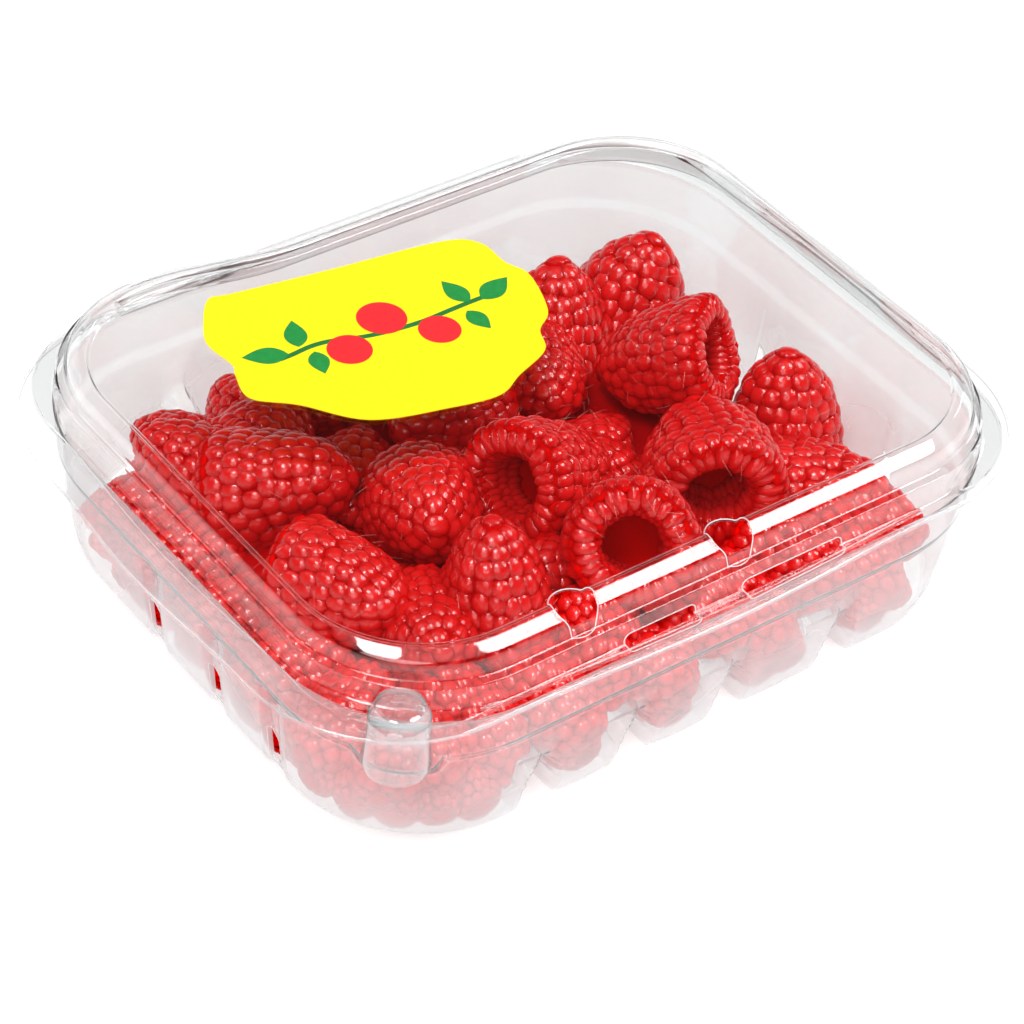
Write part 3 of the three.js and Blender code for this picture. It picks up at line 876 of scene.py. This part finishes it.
def placeBeads(chance, bead, deep):
    # every drupelet of a berry: its points, its middle and the way it faces
    for index, (radius, height, runR, runZ) in enumerate(berryRows(deep)):
        count = beadCount(radius, height)
        length = math.hypot(runR, runZ)
        slopeR, slopeZ = runR / length, runZ / length
        phase = chance.random() * 0.3
        for step in range(count):
            turn = 2 * math.pi * (step + phase + 0.5 * (index % 2) + chance.uniform(-0.2, 0.2)) / count
            ring = np.array([math.cos(turn), math.sin(turn), 0])
            around = np.array([-math.sin(turn), math.cos(turn), 0])
            along = ring * slopeR + np.array([0, 0, slopeZ])
            out = ring * slopeZ - np.array([0, 0, slopeR])
            if count == 1:
                along, around, out = np.array([1.0, 0, 0]), np.array([0, 1.0, 0]), np.array([0, 0, 1.0])
            pitch = 2 * math.pi * radius / count if count > 1 else berry["across"]
            wide = berry["overlap"] * max(pitch, 1.1) * chance.uniform(0.92, 1.1)
            long = berry["overlap"] * berry["rowPitch"] * 1.08 * chance.uniform(0.92, 1.1)
            tall = berry["rise"] * min(1, pitch / 1.7) * chance.uniform(0.82, 1.14)
            centre = ring * radius + np.array([0, 0, height]) + along * chance.uniform(-0.42, 0.42)
            if count == 1:
                centre = np.array([0, 0, height])
            yield bead @ np.stack([around * wide, along * long, out * tall]) + centre, centre, out, along


def lumpy(chance):
    # gives a berry its own uneven swell
    phases = [chance.uniform(0, 2 * math.pi) for _ in range(4)]

    def bend(points):
        turn = np.arctan2(points[:, 1], points[:, 0])
        height = points[:, 2] / berry["height"]
        swell = (1 + 0.035 * np.sin(2 * turn + phases[0] + 2 * height)
                 + 0.025 * np.sin(3 * turn + phases[1] - 3 * height) + 0.02 * np.sin(7 * height + phases[2]))
        lean = 0.9 * height ** 2
        return np.column_stack([points[:, 0] * swell + lean * math.cos(phases[3]),
                                points[:, 1] * swell + lean * math.sin(phases[3]), points[:, 2]])
    return bend


def buildBerry(seed, deep, segments, rings):
    # one raspberry over its core: points, faces, height and tone of each point, and roots for its down
    chance = random.Random(seed)
    bead, beadFaces = drupeletMesh(segments, rings)
    # each point's height on its drupelet; the flesh ramps turn it into painted shade in the creases and
    # painted light on the tops
    high = np.clip((bead[:, 2] - drupelet["cutHeight"]) / (1 - drupelet["cutHeight"]), 0, 1)
    points, faces, swell, tone, roots = [], [], [], [], []
    start = 0
    for placed, centre, out, along in placeBeads(chance, bead, deep):
        points.append(placed)
        faces.extend(tuple(v + start for v in face) for face in beadFaces)
        swell.append(high)
        tone.append(np.full(len(bead), chance.random()))
        if not (deep and math.hypot(centre[0], centre[1]) < 6.5):
            roots.append((centre + out * berry["rise"] * 0.8, out, along))
        start += len(bead)
    core, coreFaces, coreSwell = berryCore(deep)
    points.append(core)
    faces.extend(tuple(v + start for v in face) for face in coreFaces)
    swell.append(coreSwell)
    tone.append(np.full(len(core), 0.5))
    bend = lumpy(chance)
    return {"points": bend(np.concatenate(points)), "faces": faces, "swell": np.concatenate(swell),
            "tone": np.concatenate(tone), "roots": roots}


def berryCore(deep):
    path = berryPath(False)
    inner = berry["hollow"] if deep else berry["plug"]
    outline = [(r, z) for r, z, _ in inner] + [(r, z) for r, z in path[2:-1]] + [(0, berry["height"])]
    # the third values are painted light for the hollow or plug; the outer side gets 0, the same bright lit red
    tint = [value for _, _, value in inner]
    tint += [0.0] * (len(outline) - len(inner))
    count = berry["coreSides"]
    points, swell = [(0, 0, outline[0][1])], [tint[0]]
    for (r, z), value in zip(outline[1:-1], tint[1:-1]):
        points += [(r * math.cos(2 * math.pi * i / count), r * math.sin(2 * math.pi * i / count), z)
                   for i in range(count)]
        swell += [value] * count
    points.append((0, 0, outline[-1][1]))
    swell.append(0.0)
    faces = []
    for row in range(len(outline) - 3):
        for i in range(count):
            a, b = 1 + row * count + i, 1 + row * count + (i + 1) % count
            faces.append((a, b, b + count, a + count))
    last = 1 + (len(outline) - 3) * count
    for i in range(count):
        j = (i + 1) % count
        faces.append((0, 1 + j, 1 + i))
        faces.append((last + i, last + j, len(points) - 1))
    return np.array(points, float), faces, np.array(swell)


# Every berry: middle, tilt of its tip from upright, heading of the tip, size, open end seen
topFruit = [
    (-50, 32, 19.5, 60, 120, 1.02, 0), (-38.4, 13.3, 22.3, 66, 310, 1.18, 0), (-24, -7, 24, 58, 244, 1.14, 0),
    (2.0, -9.7, 23.1, 110, 11, 1.18, 1), (2.6, -30, 24.0, 122, 50, 1.13, 1), (30.5, -17, 22, 94, 59, 1.22, 1),
    (35.7, 6.2, 24.4, 116, 126, 1.1, 1), (51.5, 30, 19, 20, 340, 1.22, 0), (57, -10, 16.5, 11, 62, 1.2, 0),
    (32, 30, 20, 20, 60, 1.16, 0), (18, 15, 19, 70, 250, 1.02, 0), (49, -33, 14.5, 70, 310, 1.12, 0),
    (-25, -27, 25, 11, 77, 1.08, 0), (-46, -15.5, 22, 72, 288, 1.08, 0), (-39, -29, 18, 60, 250, 1.05, 0),
    (-31, 32, 15.5, 70, 20, 1.05, 0), (-6, 16, 21, 75, 200, 1.05, 0), (-8, 36, 17, 70, 330, 1.0, 0),
    (12, 38, 16, 50, 90, 1.0, 0), (14, -10, 16, 40, 90, 1.0, 0), (-9, -26, 17, 50, 200, 1.0, 0),
    (18, 0, 13.5, 75, 20, 1.0, 0), (-16, 8, 14, 80, 100, 1.0, 0), (-24, 16, 15, 70, 40, 1.0, 0),
]

lowFruit = [
    (-62, -32, 9.5, 80, 200, 1.0), (-50, -44.5, 9.5, 75, 260, 1.0), (-40, -46.5, 9.5, 90, 280, 1.0),
    (-25, -48.5, 9.5, 80, 275, 1.0), (-14, -45, 13, 100, 250, 0.95), (-4.5, -48.5, 9.5, 70, 265, 1.0),
    (8, -45, 13, 90, 280, 0.95), (18, -48.5, 9.5, 80, 270, 1.0), (32, -45.5, 13, 75, 285, 1.0),
    (44, -47.5, 9.5, 85, 270, 1.0), (54, -40, 10, 80, 315, 1.0), (-57, -43, 9, 85, 226, 0.9),
    (-63.5, -16, 9.5, 85, 180, 1.0), (-63.5, 1, 9.5, 75, 170, 1.0), (-63.5, 18, 9.5, 85, 190, 1.0),
    (-59, 34, 10, 80, 150, 1.0), (-45, 43, 11, 80, 110, 1.0), (-27, 45, 11, 80, 90, 1.0),
    (-7, 45, 11, 85, 80, 1.0), (13, 45, 11, 80, 100, 1.0), (31, 38, 11, 70, 60, 1.0),
    (-30, -12, 10, 60, 40, 1.0), (-28, 18, 10, 60, 140, 1.0), (-8, 2, 10, 60, 220, 1.0),
    (-64.0, -35, 5.6, 90, 190, 0.62), (-62.0, -41.5, 5.6, 90, 208, 0.62), (-58.0, -46.5, 5.6, 90, 226, 0.62),
    (-52.5, -49.8, 5.6, 90, 244, 0.62), (-46.2, -51.2, 5.6, 90, 262, 0.62), (-25.2, -51.6, 5.6, 90, 270, 0.64),
    (-4.5, -51.6, 5.6, 90, 270, 0.64), (15.8, -51.6, 5.6, 90, 270, 0.62), (21.2, -51.6, 5.6, 90, 280, 0.62),
    (41.0, -51.6, 5.6, 90, 260, 0.62), (47.5, -50.4, 5.6, 90, 290, 0.62), (-63.8, -24, 5.6, 90, 180, 0.62),
    (-63.8, -15, 5.6, 90, 180, 0.62), (-63.8, -6, 5.6, 90, 180, 0.62), (-63.8, 4, 5.6, 90, 180, 0.62),
    (-63.8, 14, 5.6, 90, 180, 0.62), (-63.8, 24, 5.6, 90, 180, 0.62), (-62.5, 33, 5.6, 90, 160, 0.62),
    (12, -26, 10, 60, 320, 1.0), (34, -8, 10, 60, 50, 1.0), (16, 22, 10, 60, 170, 1.0),
    (38, 22, 9.5, 60, 200, 1.0),
]

press = {
    # the tray's inside: heights, and how far it lies beyond the corner centres there
    "heights": [0.0, 0.6, 4.4, 9.0, 13.0, 18.0, 21.0, 23.1, 31.9],
    "reach": [22.2, 24.6, 25.7, 26.3, 26.8, 27.1, 27.4, 28.5, 29.2],
    "notchHeights": [8.0, 9.0, 13.0, 18.0],
    "notchDepth": [6.5, 4.2, 1.0, 0.0],
    "margin": 0.8,
}


# Soft fruit lies flat against the sheet, where it would otherwise pass through it
def pressInside(points):
    x, y, z = points[:, 0], points[:, 1] - shiftY, points[:, 2]
    beyondX = np.maximum(np.abs(x) - trayCorner[0], 0)
    beyondY = np.maximum(np.abs(y) - trayCorner[1], 0)
    away = np.hypot(beyondX, beyondY)
    z = np.maximum(z, np.interp(away, [11, 16], [4.0, 0.8]))
    room = np.interp(z, press["heights"], press["reach"]) - press["margin"]
    notch, flute = np.zeros(len(x)), np.zeros(len(x))
    for centre in tray["notchPlaces"]:
        notch = np.maximum(notch, acrossShare(x, centre, tray["notchHalfWidth"] + 1.2, 0.6))
    for centre in tray["ventPlaces"]:
        flute = np.maximum(flute, acrossShare(y, centre, tray["fluteHalfWidth"] + 0.6, 0.6))
    room = room - notch * np.interp(z, press["notchHeights"], press["notchDepth"]) * (beyondX == 0)
    room = room - flute * tray["fluteDepth"][1] * (beyondY == 0)
    share = np.minimum(1, room / np.maximum(away, 0.001))
    x = np.sign(x) * (np.minimum(np.abs(x), trayCorner[0]) + beyondX * share)
    y = np.sign(y) * (np.minimum(np.abs(y), trayCorner[1]) + beyondY * share)
    return np.column_stack([x, y + shiftY, z])


def berryMatrix(x, y, z, tilt, heading, size, spin):
    lean, way = math.radians(tilt), math.radians(heading)
    tip = Vector((math.sin(lean) * math.cos(way), math.sin(lean) * math.sin(way), math.cos(lean)))
    turn = tip.to_track_quat("Z", "Y").to_matrix().to_4x4() @ Matrix.Rotation(spin, 4, "Z")
    base = Vector((x, y + shiftY, z)) - tip * size * 11
    return np.array(Matrix.Translation(base) @ turn @ Matrix.Scale(size, 4))


def joinBerries(name, fruit, kinds, material, seed):
    points, faces, swell, tone = [], [], [], []
    start = 0
    for index, (*place, opened) in enumerate(fruit):
        chance = random.Random(seed + index)
        shape = kinds[(index % 3, opened)]
        matrix = berryMatrix(*place, chance.uniform(0, 2 * math.pi))
        squash = np.array([chance.uniform(low, 1.04) for low in (0.96, 0.96, 0.97)])
        points.append(pressInside((shape["points"] * squash) @ matrix[:3, :3].T + matrix[:3, 3]))
        faces.extend(tuple(v + start for v in face) for face in shape["faces"])
        swell.append(shape["swell"])
        tone.append(shape["tone"] * 0.6 + 0.4 * chance.random())
        start += len(shape["points"])
    piece = addMesh(name, np.concatenate(points), faces)
    for key, values in (("swell", swell), ("tone", tone)):
        layer = piece.data.attributes.new(key, "FLOAT", "POINT")
        layer.data.foreach_set("value", np.concatenate(values).astype(np.float32))
    piece.data.shade_smooth()
    return finishPiece(piece, material, "base", "raspberries")


down = {"perBerry": 40, "length": (1.4, 3.0), "radius": 0.028, "steps": 4}


def hairTube(root, out, side, length, chance):
    # a curved three-sided strand that stands up and bends over
    steps = down["steps"]
    curl = chance.uniform(0.5, 1.6)
    path = []
    for step in range(steps + 1):
        share = step / steps
        turn = curl * share
        path.append(root + out * length * 0.55 * math.sin(turn + 0.2) + side * length * share)
    across = np.cross(out, side)
    points = []
    for step, middle in enumerate(path):
        radius = down["radius"] * (1 - 0.6 * step / steps)
        points += [middle + radius * (across * math.cos(a) + out * math.sin(a)) for a in (0, 2.094, 4.189)]
    faces = [(3 * s + i, 3 * s + (i + 1) % 3, 3 * s + 3 + (i + 1) % 3, 3 * s + 3 + i)
             for s in range(steps) for i in range(3)]
    faces += [(2, 1, 0), (3 * steps, 3 * steps + 1, 3 * steps + 2)]
    return points, faces


# The berries' down: thin dry styles, pale straw with a little red showing through
def downMaterial():
    material, tree = newMaterial("dry_berry_down")
    place = addNode(tree, "ShaderNodeTexCoord")
    tint = addNode(tree, "ShaderNodeTexNoise", {"Scale": 120.0}, {"Vector": place.outputs["Object"]})
    tone = ramp(tree, tint.outputs["Fac"], [(0.35, "#E0605A"), (0.65, "#F4B8AC")])
    shade = addNode(tree, "ShaderNodeBsdfPrincipled", {"Roughness": 0.5}, {"Base Color": tone})
    addNode(tree, "ShaderNodeOutputMaterial", links={"Surface": shade.outputs[0]})
    return material


def buildDown(fruit, kinds, seed):
    points, faces = [], []
    for index, (*place, opened) in enumerate(fruit):
        chance = random.Random(seed + index)
        matrix = berryMatrix(*place, chance.uniform(0, 2 * math.pi))
        roots = kinds[(index % 3, opened)]["roots"]
        for root, out, along in chance.sample(roots, down["perBerry"]):
            turn = chance.uniform(0, 2 * math.pi)
            side = along * math.cos(turn) + np.cross(out, along) * math.sin(turn)
            strand, strandFaces = hairTube(root, out, side, chance.uniform(*down["length"]), chance)
            start = len(points)
            points.extend(pressInside(np.array([matrix[:3, :3] @ p + matrix[:3, 3] for p in strand])))
            faces.extend(tuple(v + start for v in face) for face in strandFaces)
    piece = outward(addMesh("berryDown", points, faces))
    finishPiece(piece, downMaterial(), "base")


flesh = {
    # colours by height on a drupelet: painted light in the hollow, painted shade in the creases, then lighter
    # up to a painted lit top; one set for dark fruit
    "deep": [(0.3, "#E00300"), (0.55, "#B00406"), (0.75, "#C80A0A"), (0.97, "#D41212")],
    "light": [(0.3, "#E80400"), (0.55, "#C00607"), (0.75, "#DA1010"), (0.97, "#EA2020")],
    "shine": [(0.5, 0.0), (0.85, 0.6)],
}


# Raspberry flesh: thin moist skin over juicy pulp, so light sinks in and each drupelet glows,
# with a glint on its top and dull creases; its colour holds painted shade in the creases and painted light on
# the tops
def berryMaterial():
    material, tree = newMaterial("raspberry_flesh")
    high = addNode(tree, "ShaderNodeAttribute", attribute_name="swell")
    tint = addNode(tree, "ShaderNodeAttribute", attribute_name="tone")
    # these ramps paint shade into the creases and light onto the drupelets' tops and into the hollow
    deep = ramp(tree, high.outputs["Fac"], flesh["deep"])
    light = ramp(tree, high.outputs["Fac"], flesh["light"])
    skin = addNode(tree, "ShaderNodeMix", links={0: tint.outputs["Fac"], 6: deep, 7: light},
                   data_type="RGBA")
    shine = ramp(tree, high.outputs["Fac"], flesh["shine"])
    place = addNode(tree, "ShaderNodeTexCoord")
    fuzz = addNode(tree, "ShaderNodeTexNoise", {"Scale": 2200.0, "Detail": 2.0},
                   {"Vector": place.outputs["Object"]})
    relief = addNode(tree, "ShaderNodeBump", {"Strength": 0.12, "Distance": 0.00008},
                     {"Height": fuzz.outputs["Fac"]})
    shade = addNode(tree, "ShaderNodeBsdfPrincipled", {
        "Roughness": 0.17, "IOR": 1.5, "Subsurface Weight": 0.2,
        "Subsurface Radius": (1.0, 0.1, 0.08), "Subsurface Scale": 0.0026},
        {"Base Color": skin.outputs[2], "Normal": relief.outputs[0], "Specular IOR Level": shine})
    addNode(tree, "ShaderNodeOutputMaterial", links={"Surface": shade.outputs[0]})
    return material


heap = {"middle": (-4.0, -3.0 + shiftY, 9.5), "half": (50.0, 37.0, 5.5), "squareness": 0.55}


def buildHeapCore(material):
    # what shows between the berries: a filler lump at the middle of the heap, coloured as painted shade
    bpy.ops.mesh.primitive_ico_sphere_add(subdivisions=5, radius=1, location=(0, 0, 0))
    piece = bpy.context.object
    piece.name = "heapCore"
    for vertex in piece.data.vertices:
        x, y, z = (math.copysign(abs(c) ** heap["squareness"], c) for c in vertex.co)
        ripple = 0.5 * math.sin(x * 60) * math.sin(y * 45)
        offset = Vector((x * heap["half"][0], y * heap["half"][1], z * heap["half"][2] + ripple))
        vertex.co = (Vector(heap["middle"]) + offset) * mm
    # 0.55 gives it the creases' painted-shade red
    for key, value in (("swell", 0.55), ("tone", 0.0)):
        layer = piece.data.attributes.new(key, "FLOAT", "POINT")
        layer.data.foreach_set("value", np.full(len(piece.data.vertices), value, np.float32))
    piece.data.shade_smooth()
    finishPiece(piece, material, "base")


def buildFruit():
    material = berryMaterial()
    fine = {(i, opened): buildBerry(10 + i, opened == 1, *drupelet["fine"])
            for i in range(3) for opened in (0, 1)}
    coarse = {(i, 0): buildBerry(20 + i, False, *drupelet["coarse"]) for i in range(3)}
    closed = [fruit for fruit in topFruit if fruit[6] == 0]
    groups = {
        "openRaspberries": [fruit for fruit in topFruit if fruit[6] == 1],
        "topRaspberriesBack": closed[:7],
        "topRaspberriesMiddle": closed[7:14],
        "topRaspberriesFront": closed[14:],
    }
    for seed, (name, fruit) in enumerate(groups.items()):
        joinBerries(name, fruit, fine, material, 50 * seed)
        buildDown(fruit, fine, 50 * seed)
    low = [(*fruit, 0) for fruit in lowFruit]
    third = len(low) // 3
    joinBerries("lowRaspberriesFront", low[:third], coarse, material, 200)
    joinBerries("lowRaspberriesSide", low[third:2 * third], coarse, material, 300)
    joinBerries("lowRaspberriesBack", low[2 * third:], coarse, material, 400)
    buildHeapCore(material)
    print("raspberries done")


addCamera(cameraSetup)
addStudio(studio)
print("camera and studio done")
buildTray()
print("tray done")
buildLid()
buildHinge()
print("lid and hinge done")
buildLabel()
print("label done")
buildFruit()
shown = [piece for piece in bpy.data.objects if piece.type == "MESH"]
print("triangles", sum(len(face.vertices) - 2 for piece in shown for face in piece.data.polygons))
